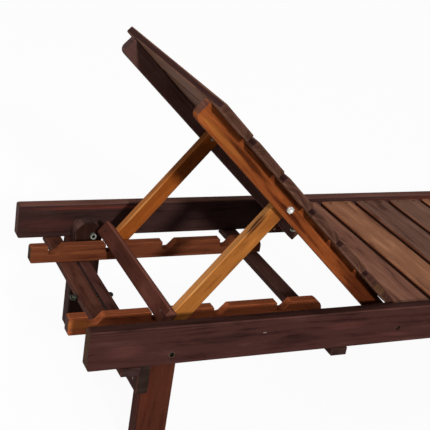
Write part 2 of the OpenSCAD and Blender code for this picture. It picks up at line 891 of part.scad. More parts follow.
module leg(e, s, leg_out) {
    leg_in = leg_out - leg_t;
    color(dark_wood) bench() at_end(e) on_side(s) difference() {
        intersection() {
            translate([leg_x - leg_w / 2, leg_in, -seat_h - over])
                linear_extrude(seat_h + over) soft_rect(leg_w, leg_t, leg_edge_r);
            thick_y([leg_in - over, leg_out + over]) leg_outline();
        }
        translate([stretcher_x, leg_in - over, stretcher_low])
            cube([stretcher_t, leg_t + 2 * over, stretcher_h]);
        round_y(leg_pivot_x, [leg_in - over, leg_out + over], -leg_pivot_drop, bolt_r + bolt_play);
        stretcher_screw_places(leg_out) screw_hole(stretcher_screw_l);
    }
}

module stretcher(e, leg_out) {
    y = leg_out + stretcher_over;
    color(dark_wood) bench() at_end(e) difference() {
        timber_y(
            [stretcher_x, stretcher_x + stretcher_t], [-y, y],
            [stretcher_low, stretcher_top], board_edge_r, board_edge_r
        );
        for (s = [-1, 1]) {
            on_side(s) stretcher_screw_places(leg_out) screw_hole(stretcher_screw_l);
        }
        round_x(
            [stretcher_x - over, stretcher_x + stretcher_t + over], 0, board_mid,
            bolt_r + bolt_play
        );
    }
}

module stretcher_screws(e, leg_out) {
    color(steel) bench() at_end(e) for (s = [-1, 1]) {
        on_side(s) stretcher_screw_places(leg_out) screw(stretcher_screw_l);
    }
}

// Lock bolt through the stretcher and the end cross board, with a cap nut on the far side
module lock_bolt(e) {
    nut_x = stretcher_x + stretcher_t;
    tip_x = board_x - lock_travel - wing_hub_h - lock_tail;
    color(dark_steel) bench() at_end(e) {
        round_x([tip_x, nut_x], 0, board_mid, bolt_r);
        translate([nut_x, 0, board_mid]) rotate([0, 90, 0]) domed_hexagon(nut_r);
    }
}

// Wing nut, backed off from the board far enough for the legs to fold
module wing_nut(e) {
    wing_x = board_x - lock_travel - wing_hub_h;
    wing_l = wing_span / 2 - wing_hub_r / 2;
    color(steel) bench() at_end(e) difference() {
        translate([wing_x, 0, board_mid]) union() {
            rotate([0, 90, 0])
                cylinder(r1 = wing_tip_share * wing_hub_r, r2 = wing_hub_r, h = wing_hub_h);
            translate([0, 0, -wing_t / 2]) linear_extrude(wing_t) {
                for (d = [-1, 1]) {
                    translate([0, d * wing_l]) circle(r = wing_hub_r / 2);
                    translate([0, d * wing_l / 2])
                        square([wing_hub_r, wing_l], center = true);
                }
                translate([0, -wing_hub_r / 2]) square([wing_hub_h, wing_hub_r]);
            }
        }
        round_x([wing_x - wing_span, wing_x + wing_hub_h + over], 0, board_mid, bolt_r + screw_play);
    }
}

side_rail(1);  // side_rail_left
side_rail(-1);  // side_rail_right
ledger(1);  // ledger_left
ledger(-1);  // ledger_right
spacer_block(1);  // spacer_block_left
spacer_block(-1);  // spacer_block_right
rack(1);  // rack_left
rack(-1);  // rack_right
end_cross_board(1, [rail_mid, rack_mid]);  // head_cross_board
rack_cross_board();
end_cross_board(-1, [rail_mid]);  // foot_cross_board
seat_slat(0);  // seat_slat_1
seat_slat(1);  // seat_slat_2
seat_slat(2);  // seat_slat_3
seat_slat(3);  // seat_slat_4
seat_slat(4);  // seat_slat_5
seat_slat(5);  // seat_slat_6
seat_slat(6);  // seat_slat_7
seat_slat(7);  // seat_slat_8
seat_slat(8);  // seat_slat_9
seat_slat(9);  // seat_slat_10
seat_slat(10);  // seat_slat_11
seat_slat_screws();
cross_board_screws();
ledger_screws();
backrest_pivot_bolts();
backrest_pivot_nuts();
leg_pivot_bolts();
leg_pivot_washers();
leg_pivot_nuts();
backrest_rail(1);  // backrest_rail_left
backrest_rail(-1);  // backrest_rail_right
backrest_slat(0);  // backrest_slat_1
backrest_slat(1);  // backrest_slat_2
backrest_slat(2);  // backrest_slat_3
backrest_slat(3);  // backrest_slat_4
backrest_slat(4);  // backrest_slat_5
backrest_slat(5);  // backrest_slat_6
backrest_slat_screws();
prop_bolts();
prop_bolt_nuts();
prop(1);  // prop_left
prop(-1);  // prop_right
prop_crossbar();
prop_crossbar_screws();
leg(1, 1, head_leg_out);  // head_leg_left
leg(1, -1, head_leg_out);  // head_leg_right
stretcher(1, head_leg_out);  // head_stretcher
stretcher_screws(1, head_leg_out);  // head_stretcher_screws
lock_bolt(1);  // head_lock_bolt
wing_nut(1);  // head_wing_nut
leg(-1, 1, foot_leg_out);  // foot_leg_left
leg(-1, -1, foot_leg_out);  // foot_leg_right
stretcher(-1, foot_leg_out);  // foot_stretcher
stretcher_screws(-1, foot_leg_out);  // foot_stretcher_screws
lock_bolt(-1);  // foot_lock_bolt
wing_nut(-1);  // foot_wing_nut
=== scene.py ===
"""Looks of the folding sun lounger: oiled hardwood, zinc fasteners, a pale floor and soft light."""
import math
from collections import namedtuple

import bpy
from mathutils import Matrix, Vector


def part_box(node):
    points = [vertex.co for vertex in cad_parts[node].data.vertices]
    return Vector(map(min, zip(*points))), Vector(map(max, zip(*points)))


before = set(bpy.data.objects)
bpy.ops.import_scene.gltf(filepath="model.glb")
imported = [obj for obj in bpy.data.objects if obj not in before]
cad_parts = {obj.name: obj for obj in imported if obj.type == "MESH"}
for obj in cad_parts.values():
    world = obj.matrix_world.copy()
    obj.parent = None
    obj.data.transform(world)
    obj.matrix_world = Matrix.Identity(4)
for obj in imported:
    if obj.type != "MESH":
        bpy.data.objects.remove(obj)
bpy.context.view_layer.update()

# Camera recovered from the photograph's straight edges. Its lens and sensor are in millimetres
CAMERA_AT = Vector((-1.53858, -1.86505, 1.32076))
CAMERA_RIGHT = Vector((0.909784, -0.388003, 0.147467))
CAMERA_UP = Vector((0.030722, 0.417243, 0.908276))
CAMERA_LENS = 83.92
CAMERA_SENSOR = 36.0

# The key light travels across the lounger and down, from low beside its right side
LIT_POINT = Vector((-0.5, 0.0, 0.35))
KEY_TRAVEL = Vector((0.065, 1.0, -0.43))
KEY_DISTANCE = 4.0
KEY_STRENGTH = 2.35
KEY_SPREAD = math.radians(5.0)

# The top light hangs over the head end, and the world adds soft light from all round
TOP_OFFSET = Vector((-1.3, 0.1, 2.8))
TOP_SIZE = 2.6
TOP_POWER = 38.0
SOFT_STRENGTH = 0.36
SOFT_COLOUR = (1.0, 1.0, 1.0, 1.0)
BACKDROP_COLOUR = (0.985, 0.985, 0.985, 1.0)

# The floor is grey to bounced light and glows nearly white where it is seen. Its half is in metres
FLOOR_HALF = 40.0
FLOOR_TINT = 0.50
FLOOR_SEEN_TINT = 0.86
FLOOR_GLOW_SHARE = 0.94
FLOOR_GLOW_COLOUR = (1.0, 1.0, 1.0, 1.0)

# Tilts of the backrest and of the props above the level
BACK_TILT = math.radians(42.85)
PROP_TILT = math.radians(51.49)

# Features of the wood: waves per metre along and across the grain, detail and roughness
Feature = namedtuple("Feature", "along across detail roughness")
WAVE = Feature(2.4, 9.0, 2.0, 0.5)
MOTTLE = Feature(8.0, 34.0, 4.0, 0.6)
CLOUD = Feature(2.2, 7.0, 2.0, 0.5)
STREAK = Feature(1.3, 75.0, 3.0, 0.6)
FIBRE = Feature(11.0, 520.0, 3.0, 0.65)
PORE = Feature(90.0, 1500.0, 1.0, 0.5)
RINGS_PER_METRE = 150.0
RING_DETAIL = 3.0

# Where in the log each board is cut: reaches in metres, and steps of the sine from board to board
LOG_ALONG, LOG_ALONG_STEP = 3.1, 7.1
LOG_ACROSS, LOG_ACROSS_STEP = 0.6, 3.7
PITH_DEPTH, PITH_SWAY, PITH_STEP = 0.05, 0.045, 5.3
GRAIN_SWAY = (0.0, 0.045, 0.045)
NOISE_MIDDLE = 0.5

# Shares of the features in the figure, and the levels between which its light and dark parts grow
FIGURE_SHARES = {"mottle": 0.36, "rings": 0.26, "streak": 0.20, "cloud": 0.18}
LIGHT_LEVELS = (0.50, 0.63)
DEEP_LEVELS = (0.49, 0.37)
LIGHT_SHARES = (1.40, 1.48, 1.50)
DEEP_SHARES = (0.50, 0.44, 0.46)

# Fibres darken and lighten the figure, and pores are short dark dashes in it
FIBRE_SHARE, FIBRE_BASE = 0.56, 0.72
PORE_LEVELS = (0.62, 0.74)
PORE_STRENGTH = 0.5
PORE_SHADE = 0.6

# Stains and painted light fade out over their rims, which the mottle frays, and let the figure
# through
STAIN_AND_LIGHT_RIM = (1.05, 0.55)
STAIN_AND_LIGHT_FRAY = 1.6
STAIN_AND_LIGHT_LEVELS = (0.36, 0.64)
STAIN_AND_LIGHT_SHADES = (0.60, 1.40)

# End grain shows where a face looks along the board, and wear where it looks along no axis
END_LEVELS = (0.75, 0.95)
END_STRENGTH = 0.75
END_RING_SHARE = 0.5
END_FIGURE_LEVELS = (0.40, 0.60)
END_DARK_SHARES = (0.72, 0.68, 0.66)
END_LIGHT_SHARES = (1.22, 1.24, 1.26)
EDGE_LEVELS = (0.97, 0.80)
WORN_LEVELS = (0.35, 0.65)
WORN_STRENGTHS = (0.1, 0.6)
WORN_SHARES = (1.35, 1.30, 1.25)

# Painted shade darkens the sides of a seat slat, which face the gaps between slats, and a painted
# shadow darkens them further from just under its top. Heights are from its middle
SIDE_SHADE_COLOUR = "5e301b"
SIDE_SHADE_LEVELS = (0.30, 0.60)
SIDE_SHADE_STRENGTH = 0.85
GAP_SHADOW_COLOUR = "1c0a05"
GAP_SHADOW_HEIGHTS = (0.0056, 0.0020)
GAP_SHADOW_STRENGTH = 0.90

# Sheen and relief of oiled wood. The relief's depth is in metres
WOOD_SPECULAR = 0.03
WOOD_SHEEN_LEVELS = (0.3, 0.7)
WOOD_ROUGHNESSES = (0.62, 0.75)
PORE_ROUGHNESS = 0.2
FIBRE_RELIEF, RING_RELIEF, PORE_RELIEF = 0.5, 0.35, 0.6
WOOD_BUMP_STRENGTH, WOOD_BUMP_DEPTH = 0.3, 0.0006

# Tarnish clouds and fine scratches of plated steel, in waves per metre, and the painted shade in
# its sockets,
#  which fades in between their radius and this share of it
TARNISH_SCALE, TARNISH_DETAIL, TARNISH_ROUGHNESS = 180.0, 3.0, 0.6
TARNISH_LEVELS = (0.45, 0.7)
SCRATCH_WAVES = (900.0, 5000.0, 900.0)
SCRATCH_DETAIL = 1.0
SCRATCH_ROUGHNESS = 0.18
METAL_BUMP_STRENGTH, METAL_BUMP_DEPTH = 0.12, 0.0002
SOCKET_SHADE_COLOUR = "161512"
SOCKET_RIM = 0.85

# Woods: colour of the faces, colour of the end grain, and how strongly the figure shows
TONES = {
    "near_rail": ("432723", "583f2c", 1.5),
    "far_rail": ("362320", "614641", 1.3),
    "near_rack": ("8e4a2c", "333737", 1.1),
    "far_rack": ("653520", "2c2e1c", 1.1),
    "head_cross": ("553227", "2d2526", 1.2),
    "rack_cross": ("492f29", "30221d", 1.2),
    "near_back": ("854420", "503b37", 1.5),
    "far_back": ("543933", "3f2e2f", 1.2),
    "near_prop": ("a5652d", "8a5a35", 1.0),
    "far_prop": ("884619", "7a4c2c", 1.2),
    "crossbar": ("4c2920", "815043", 1.3),
    "near_leg": ("4b2519", "3c2a22", 1.1),
    "far_leg": ("4b332f", "30221f", 1.2),
    "stretcher": ("492b25", "1f1d19", 1.3),
    "seat_a": ("704a3b", "5a4034", 1.0),
    "seat_b": ("855941", "64483a", 1.2),
    "seat_c": ("64463a", "4c382f", 1.1),
    "seat_d": ("6a4b3e", "544036", 1.1),
    "back_slats": ("38211e", "54372b", 1.2),
    "low_slat": ("38211e", "442b21", 1.2),
}

# Boards with the axis of their grain, their tilt and their wood
BOARDS = [
    ("side_rail_left", "x", 0.0, "far_rail"),
    ("side_rail_right", "x", 0.0, "near_rail"),
    ("ledger_left", "x", 0.0, "far_rail"),
    ("ledger_right", "x", 0.0, "far_rail"),
    ("spacer_block_left", "x", 0.0, "crossbar"),
    ("spacer_block_right", "x", 0.0, "far_back"),
    ("rack_left", "x", 0.0, "far_rack"),
    ("rack_right", "x", 0.0, "near_rack"),
    ("head_cross_board", "y", 0.0, "head_cross"),
    ("rack_cross_board", "y", 0.0, "rack_cross"),
    ("foot_cross_board", "y", 0.0, "head_cross"),
    ("backrest_rail_left", "x", BACK_TILT, "far_back"),
    ("backrest_rail_right", "x", BACK_TILT, "near_back"),
    ("prop_left", "x", -PROP_TILT, "far_prop"),
    ("prop_right", "x", -PROP_TILT, "near_prop"),
    ("prop_crossbar", "y", -PROP_TILT, "crossbar"),
    ("head_leg_left", "z", 0.0, "far_leg"),
    ("head_leg_right", "z", 0.0, "near_leg"),
    ("foot_leg_left", "z", 0.0, "far_leg"),
    ("foot_leg_right", "z", 0.0, "near_leg"),
    ("head_stretcher", "y", 0.0, "stretcher"),
    ("foot_stretcher", "y", 0.0, "stretcher"),
]
SEAT_TONES = ["seat_" + letter for letter in "abcdbcadbac"]
BACK_TONES = ["low_slat"] + ["back_slats"] * 5

# Stains and painted light with this half size reach past the whole board
PAST = 6.0

# Stains, knots and streaks of a board, and painted light and shade on some boards: centre and half
# sizes
#  along, across and through it, in metres from its middle, then colour and strength
STAINS_AND_PAINTED_LIGHT = {
    # Painted shade on the top, which gets less light than the outer side; a pale patch near the
    # head end and a dark patch in the middle
    "rack_right": [
        ((0.0, 0.0, 0.021), (PAST, PAST, 0.003), "5c301c", 0.5),
        ((-0.275, -0.0115, 0.004), (0.05, 0.012, 0.014), "a9642f", 0.6),
        ((-0.06, -0.0115, -0.006), (0.06, 0.012, 0.008), "542a17", 0.5),
    ],
    # A pale patch towards the head and a dark one towards the foot
    "rack_left": [
        ((-0.16, -0.0115, 0.002), (0.05, 0.012, 0.006), "82492b", 0.5),
        ((0.10, -0.0115, -0.008), (0.07, 0.012, 0.007), "4c2616", 0.5),
    ],
    # A pale and a dark streak on the outer side
    "head_leg_right": [
        ((0.02, -0.021, -0.012), (0.09, 0.02, 0.012), "6c3324", 0.5),
        ((-0.06, -0.021, 0.02), (0.06, 0.02, 0.010), "3c1a13", 0.5),
    ],
    # Painted light on the upper edge, which faces the light; a pale patch and a dark one on the
    # head side
    "prop_crossbar": [
        ((0.0, 0.0185, 0.0), (PAST, 0.004, PAST), "6e4237", 0.85),
        ((-0.12, 0.0, 0.012), (0.06, 0.03, 0.01), "633a30", 0.5),
        ((0.06, 0.0, 0.012), (0.08, 0.02, 0.01), "3a1e19", 0.5),
    ],
    # Painted shade on the top, which gets less light than the outer side; pale and dark patches and
    # a small pale scratch
    "side_rail_right": [
        ((0.0, 0.0, 0.044), (PAST, PAST, 0.006), "2a1814", 0.7),
        ((-0.90, 0.0, -0.004), (0.05, PAST, 0.020), "54302b", 0.6),
        ((-0.70, 0.0, 0.006), (0.07, PAST, 0.014), "2c1a18", 0.6),
        ((-0.52, 0.0, -0.012), (0.09, PAST, 0.012), "2a1715", 0.6),
        ((-0.40, 0.0, 0.010), (0.06, PAST, 0.010), "57302b", 0.6),
        ((-0.30, 0.0, -0.022), (0.08, PAST, 0.008), "5c342f", 0.5),
        ((-0.598, -0.014, 0.012), (0.0045, 0.01, 0.0018), "9a8884", 0.6),
    ],
    # Painted light: a pale top for the sheen that light gives it, red streaks for the lit arris
    # just under it, and a red patch where light falls on the head end of the inner side
    "side_rail_left": [
        ((0.45, -0.012, 0.034), (0.60, 0.01, 0.010), "5a2b22", 0.6),
        ((0.0, 0.0, 0.044), (PAST, PAST, 0.004), "5c3c33", 0.8),
        ((-0.76, 0.0, 0.033), (0.22, PAST, 0.006), "5e2d25", 0.7),
        ((-0.90, 0.0, -0.010), (0.08, PAST, 0.022), "4c2926", 0.5),
    ],
    # Painted light on the upper edge, which faces the light, a painted shadow of the backrest rail
    # near the top end, a painted highlight along the lit arris of the outer side, and a brown patch
    "prop_right": [
        ((0.0, 0.0, 0.019), (PAST, PAST, 0.004), "c98d55", 0.55),
        ((0.105, -0.011, 0.018), (0.045, 0.009, 0.009), "2a1216", 0.85),
        ((-0.08, -0.011, 0.018), (0.09, 0.006, 0.005), "d8a468", 0.5),
        ((0.13, 0.0, -0.004), (0.05, PAST, 0.014), "8a4a1e", 0.5),
    ],
    # Painted light on the upper edge, which faces the light, a painted shadow of the backrest slats
    # over the upper half, and a painted highlight along the lit arris of the side that faces the
    # light
    "prop_left": [
        ((0.0, 0.0, 0.019), (PAST, PAST, 0.004), "a86c3c", 0.6),
        ((0.10, 0.0, 0.0), (0.07, PAST, PAST), "5a2c12", 0.6),
        ((-0.06, -0.011, 0.018), (0.10, 0.006, 0.005), "c08a50", 0.5),
    ],
    # A pale streak near the top, dark streaks and a dark lower end
    "backrest_rail_right": [
        ((-0.29, 0.0, -0.010), (0.10, PAST, 0.009), "a0612a", 0.5),
        ((-0.12, 0.0, 0.014), (0.09, PAST, 0.006), "4f230f", 0.7),
        ((0.30, 0.0, 0.0), (0.16, PAST, PAST), "4a1f0e", 0.8),
        ((-0.20, 0.0, 0.0), (0.09, PAST, 0.007), "4a200d", 0.8),
        ((-0.05, 0.0, -0.010), (0.10, PAST, 0.006), "522210", 0.8),
        ((0.08, 0.0, 0.012), (0.08, PAST, 0.006), "4a1f0e", 0.8),
    ],
    # A tan knot at the right end
    "backrest_slat_1": [((-0.262, 0.0, 0.0), (0.02, 0.025, 0.02), "8f6c40", 0.7)],
}

# Painted shade: the left legs are darker on their inner sides, where shade falls
INNER_PAINTED_SHADE = [((0.0, 0.0, -0.021), (PAST, PAST, 0.007), "27140f", 0.95)]
STAINS_AND_PAINTED_LIGHT.update(head_leg_left=INNER_PAINTED_SHADE, foot_leg_left=INNER_PAINTED_SHADE)

# The backrest slats are paler on the broad faces than on their sides: the front faces in paler
# tones of their wood, the rear faces with a painted sheen, the greyish pale that light gives them
# at a grazing angle
SLAT_FACE = 0.0088
SLAT_SKIN = (PAST, PAST, 0.004)
FRONT_SHADES = ["6d4a3d", "7d563f", "61453a", "70503f", "684639", "755040"]
REAR_PAINTED_SHEEN = "87624f"
SKIN_STRENGTH = 0.85
for slat, front_shade in enumerate(FRONT_SHADES, 1):
    STAINS_AND_PAINTED_LIGHT.setdefault(f"backrest_slat_{slat}", []).extend([
        ((0.0, 0.0, SLAT_FACE), SLAT_SKIN, front_shade, SKIN_STRENGTH),
        # Painted sheen on the rear face
        ((0.0, 0.0, -SLAT_FACE), SLAT_SKIN, REAR_PAINTED_SHEEN, SKIN_STRENGTH),
    ])

# Metals: colour, colour of the tarnish, roughness, how metallic, and radius of a socket if any
METALS = {
    # Painted highlight: the prop bolt nuts are near white and half diffuse, so that they glint
    # white in the key light
    "zinc_painted_glint": ("f2f2ee", "dcdcd6", 0.45, 0.5, None),
    "dull_zinc": ("3b3d34", "25271f", 0.50, 1.0, None),
    "plain_zinc": ("8d8e84", "5d5f55", 0.40, 1.0, None),
    "bronzed": ("6b5140", "33261e", 0.38, 1.0, None),
    "burnished": ("2c2b28", "171614", 0.40, 1.0, None),
    "socket_bolt": ("5b4537", "33261e", 0.42, 1.0, 0.0052),
    "socket_nut": ("a9aaa2", "74756c", 0.32, 1.0, 0.0048),
}

# Fasteners in each metal
FASTENERS = {
    "zinc_painted_glint": ["prop_bolt_nuts"],
    "dull_zinc": ["head_wing_nut", "foot_wing_nut"],
    "plain_zinc": [
        "backrest_pivot_bolts", "backrest_pivot_nuts", "leg_pivot_washers", "prop_bolts",
    ],
    "bronzed": [
        "seat_slat_screws", "cross_board_screws", "ledger_screws", "backrest_slat_screws",
        "prop_crossbar_screws", "head_stretcher_screws", "foot_stretcher_screws",
    ],
    "burnished": ["head_lock_bolt", "foot_lock_bolt"],
    "socket_bolt": ["leg_pivot_bolts"],
    "socket_nut": ["leg_pivot_nuts"],
}

# Axes along, across and through a board, by the axis of its grain
GRAIN_ORDER = {"x": (0, 1, 2), "y": (1, 0, 2), "z": (2, 0, 1)}

# Sockets of one board: place and facing of a point in it, and the features of its wood there
Wood = namedtuple("Wood", "own facing mottle rings fibre pores figure shade")


def srgb(text):
    """Linear colour of a six-digit hex colour, by the formula of the sRGB standard."""
    parts = [int(text[start:start + 2], 16) / 255 for start in (0, 2, 4)]
    linear = [
        part / 12.92 if part <= 0.04045 else ((part + 0.055) / 1.055) ** 2.4 for part in parts
    ]
    return (*linear, 1.0)


def shares(colour, red, green, blue):
    """The colour with its channels scaled."""
    return (colour[0] * red, colour[1] * green, colour[2] * blue, 1.0)


class Graph:
    """A node tree, built from calls that take sockets or plain values."""

    def __init__(self, tree):
        self.nodes = tree.nodes
        self.links = tree.links
        self.nodes.clear()

    def node(self, kind, values=None, **settings):
        """A shader node with values on its inputs and settings on itself."""
        made = self.nodes.new("ShaderNode" + kind)
        for key, value in settings.items():
            setattr(made, key, value)
        for socket, value in (values or {}).items():
            target = made.inputs[socket]
            if isinstance(value, bpy.types.NodeSocket):
                self.links.new(value, target)
            else:
                target.default_value = value
        return made

    def math(self, operation, *values):
        return self.node("Math", dict(enumerate(values)), operation=operation).outputs[0]

    def vector(self, operation, *values):
        made = self.node("VectorMath", dict(enumerate(values)), operation=operation)
        return made.outputs["Value" if operation == "LENGTH" else "Vector"]

    def split(self, vector):
        return self.node("SeparateXYZ", {0: vector}).outputs

    def grey(self, value):
        return self.node("CombineColor", {0: value, 1: value, 2: value}).outputs[0]

    def distance(self, first, second):
        """Length of the diagonal of two lengths."""
        squares = [self.math("POWER", value, 2.0) for value in (first, second)]
        return self.math("SQRT", self.math("ADD", *squares))

    def weigh(self, parts):
        """Sum of values, each times its share."""
        total = None
        for value, share in parts:
            part = self.math("MULTIPLY", value, share)
            total = part if total is None else self.math("ADD", total, part)
        return total

    def smooth(self, value, low, high, to_low=0.0, to_high=1.0):
        """The value taken smoothly from one range to another."""
        ranges = {0: value, 1: low, 2: high, 3: to_low, 4: to_high}
        return self.node("MapRange", ranges, interpolation_type="SMOOTHSTEP").outputs[0]

    def mix(self, factor, first, second, blend="MIX"):
        colours = {0: factor, 6: first, 7: second}
        return self.node("Mix", colours, data_type="RGBA", blend_type=blend).outputs[2]

    def noise(self, vector, scale=1.0, detail=2.0, roughness=0.5):
        """Outputs of a noise: its value, then its colour."""
        inputs = {"Vector": vector, "Scale": scale, "Detail": detail, "Roughness": roughness}
        return self.node("TexNoise", inputs).outputs

    def feature(self, vector, feature):
        """Noise drawn out along the grain."""
        waves = (feature.along, feature.across, feature.across)
        stretched = self.vector("MULTIPLY", vector, waves)
        return self.noise(stretched, 1.0, feature.detail, feature.roughness)

    def surface(self, shader):
        self.node("OutputMaterial", {"Surface": shader.outputs[0]})


def new_material(name):
    """A material and the graph of its empty node tree."""
    material = bpy.data.materials.new(name)
    material.use_nodes = True
    return material, Graph(material.node_tree)


def board_space(graph, name, axis, tilt):
    """Place and facing along, across and through a board, from the board's middle."""
    order = GRAIN_ORDER[axis]
    low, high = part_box(name)
    middle = Matrix.Rotation(-tilt, 3, "Y") @ ((low + high) / 2)

    def to_board(socket):
        if tilt:
            turn = {"Vector": socket, "Angle": -tilt}
            socket = graph.node("VectorRotate", turn, rotation_type="Y_AXIS").outputs[0]
        parts = graph.split(socket)
        return graph.node("CombineXYZ", {i: parts[order[i]] for i in range(3)}).outputs[0]

    coords = graph.node("TexCoord").outputs
    own = graph.vector("SUBTRACT", to_board(coords["Object"]), tuple(middle[i] for i in order))
    return own, to_board(coords["Normal"])


def grow(graph, own, normal, seed):
    """Rings, mottle, streaks, fibres and pores of a board cut from its own place in the log."""
    along = LOG_ALONG * math.sin(LOG_ALONG_STEP * seed)
    across = LOG_ACROSS * math.sin(LOG_ACROSS_STEP * seed)
    depth = PITH_DEPTH + PITH_SWAY * math.sin(PITH_STEP * seed)
    board = graph.vector("ADD", own, (along, across, 0.0))
    sway = graph.vector("SUBTRACT", graph.feature(board, WAVE)["Color"], (NOISE_MIDDLE,) * 3)
    grain = graph.vector("ADD", board, graph.vector("MULTIPLY", sway, GRAIN_SWAY))

    log = graph.split(graph.vector("ADD", grain, (0.0, -across, depth)))
    age = graph.math("MULTIPLY", graph.distance(log[1], log[2]), RINGS_PER_METRE)
    ring_inputs = {"W": age, "Scale": 1.0, "Detail": RING_DETAIL}
    rings = graph.node("TexNoise", ring_inputs, noise_dimensions="1D").outputs[0]
    mottle = graph.feature(grain, MOTTLE)[0]
    fibre = graph.feature(grain, FIBRE)[0]
    found = {
        "mottle": mottle,
        "rings": rings,
        "streak": graph.feature(grain, STREAK)[0],
        "cloud": graph.feature(board, CLOUD)[0],
    }
    return Wood(
        own=own,
        facing=graph.split(graph.vector("ABSOLUTE", normal)),
        mottle=mottle,
        rings=rings,
        fibre=fibre,
        pores=graph.smooth(graph.feature(grain, PORE)[0], *PORE_LEVELS),
        figure=graph.weigh([(found[key], share) for key, share in FIGURE_SHARES.items()]),
        shade=graph.math("ADD", graph.math("MULTIPLY", fibre, FIBRE_SHARE), FIBRE_BASE),
    )


def figured(graph, wood, mid, light, deep):
    """Colour of the clean wood."""
    colour = graph.mix(graph.smooth(wood.figure, *LIGHT_LEVELS), mid, light)
    colour = graph.mix(graph.smooth(wood.figure, *DEEP_LEVELS), colour, deep)
    colour = graph.mix(1.0, colour, graph.grey(wood.shade), "MULTIPLY")
    pore_colour = shares(deep, PORE_SHADE, PORE_SHADE, PORE_SHADE)
    return graph.mix(graph.math("MULTIPLY", wood.pores, PORE_STRENGTH), colour, pore_colour)


def stained_and_light_painted(graph, wood, colour, stains_and_light):
    """Adds stains, knots, streaks and painted light and shade, keeping the wood's figure under
    them.
    """
    figure = graph.smooth(wood.figure, *STAIN_AND_LIGHT_LEVELS, *STAIN_AND_LIGHT_SHADES)
    relief = graph.grey(graph.math("MULTIPLY", wood.shade, figure))
    fray = graph.math("MULTIPLY", graph.math("SUBTRACT", wood.mottle, NOISE_MIDDLE), STAIN_AND_LIGHT_FRAY)
    for centre, half, stain_and_light_colour, strength in stains_and_light:
        place = graph.vector("DIVIDE", graph.vector("SUBTRACT", wood.own, centre), half)
        away = graph.math("ADD", graph.vector("LENGTH", place), fray)
        cover = graph.smooth(away, *STAIN_AND_LIGHT_RIM, 0.0, strength)
        colour = graph.mix(cover, colour, graph.mix(1.0, srgb(stain_and_light_colour), relief, "MULTIPLY"))
    return colour


def end_grained(graph, wood, colour, end_colour):
    """Adds end grain to the faces that look along the board."""
    figure = graph.weigh([(wood.rings, END_RING_SHARE), (wood.mottle, 1.0 - END_RING_SHARE)])
    end_shade = graph.mix(
        graph.smooth(figure, *END_FIGURE_LEVELS),
        shares(end_colour, *END_DARK_SHARES),
        shares(end_colour, *END_LIGHT_SHARES),
    )
    cover = graph.math("MULTIPLY", graph.smooth(wood.facing[0], *END_LEVELS), END_STRENGTH)
    return graph.mix(cover, colour, end_shade)


def gap_shade_painted(graph, wood, colour):
    """Paints shade on the narrow sides of a seat slat, and a shadow below its top arris."""
    side = graph.smooth(wood.facing[1], *SIDE_SHADE_LEVELS)
    colour = graph.mix(graph.math("MULTIPLY", side, SIDE_SHADE_STRENGTH), colour, srgb(SIDE_SHADE_COLOUR))
    low = graph.smooth(graph.split(wood.own)[2], *GAP_SHADOW_HEIGHTS, 0.0, GAP_SHADOW_STRENGTH)
    return graph.mix(graph.math("MULTIPLY", side, low), colour, srgb(GAP_SHADOW_COLOUR))


def edge_worn(graph, wood, colour, light):
    """Lightens the edges that handling has rubbed."""
    along, across, through = wood.facing
    flat = graph.math("MAXIMUM", graph.math("MAXIMUM", along, across), through)
    rubbed = graph.smooth(wood.mottle, *WORN_LEVELS, *WORN_STRENGTHS)
    cover = graph.math("MULTIPLY", graph.smooth(flat, *EDGE_LEVELS), rubbed)
    return graph.mix(cover, colour, shares(light, *WORN_SHARES))


def oiled(graph, wood, colour):
    """Surface of oiled wood, with fibres and rings that stand out and pores that lie deep."""
    rough = graph.smooth(wood.mottle, *WOOD_SHEEN_LEVELS, *WOOD_ROUGHNESSES)
    rough = graph.math("ADD", rough, graph.math("MULTIPLY", wood.pores, PORE_ROUGHNESS))
    height = graph.weigh([(wood.fibre, FIBRE_RELIEF), (wood.rings, RING_RELIEF)])
    height = graph.math("SUBTRACT", height, graph.math("MULTIPLY", wood.pores, PORE_RELIEF))
    bump = graph.node("Bump", {
        "Height": height, "Strength": WOOD_BUMP_STRENGTH, "Distance": WOOD_BUMP_DEPTH,
    })
    return graph.node("BsdfPrincipled", {
        "Base Color": colour, "Roughness": rough, "Normal": bump.outputs[0],
        "Specular IOR Level": WOOD_SPECULAR,
    })


def timber(name, axis, tilt, tone, seed):
    """Oiled hardwood with its grain along the board, from the board's own middle."""
    material, graph = new_material("timber_" + name)
    face_text, end_text, figure_depth = TONES[tone]
    mid = srgb(face_text)
    light = shares(mid, *(share ** figure_depth for share in LIGHT_SHARES))
    deep = shares(mid, *(share ** figure_depth for share in DEEP_SHARES))

    wood = grow(graph, *board_space(graph, name, axis, tilt), seed)
    colour = figured(graph, wood, mid, light, deep)
    colour = stained_and_light_painted(graph, wood, colour, STAINS_AND_PAINTED_LIGHT.get(name, []))
    colour = end_grained(graph, wood, colour, srgb(end_text))
    # Seat slats get painted shade and shadow on the sides that face their gaps
    if name.startswith("seat_slat"):
        colour = gap_shade_painted(graph, wood, colour)
    colour = edge_worn(graph, wood, colour, light)
    graph.surface(oiled(graph, wood, colour))
    return material


def socket_shaded(graph, place, shade, radius):
    """Paints shade into the sockets of the leg bolts, which lie on the axes of the leg pivots."""
    low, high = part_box("leg_pivot_washers")
    washer = high.z - low.z
    reach = (high.x - low.x - washer) / 2
    parts = graph.split(place)
    along = graph.math("SUBTRACT", graph.math("ABSOLUTE", parts[0]), reach)
    up = graph.math("SUBTRACT", parts[2], (low.z + high.z) / 2)
    inside = graph.smooth(graph.distance(along, up), radius, radius * SOCKET_RIM)
    return graph.mix(inside, shade, srgb(SOCKET_SHADE_COLOUR))


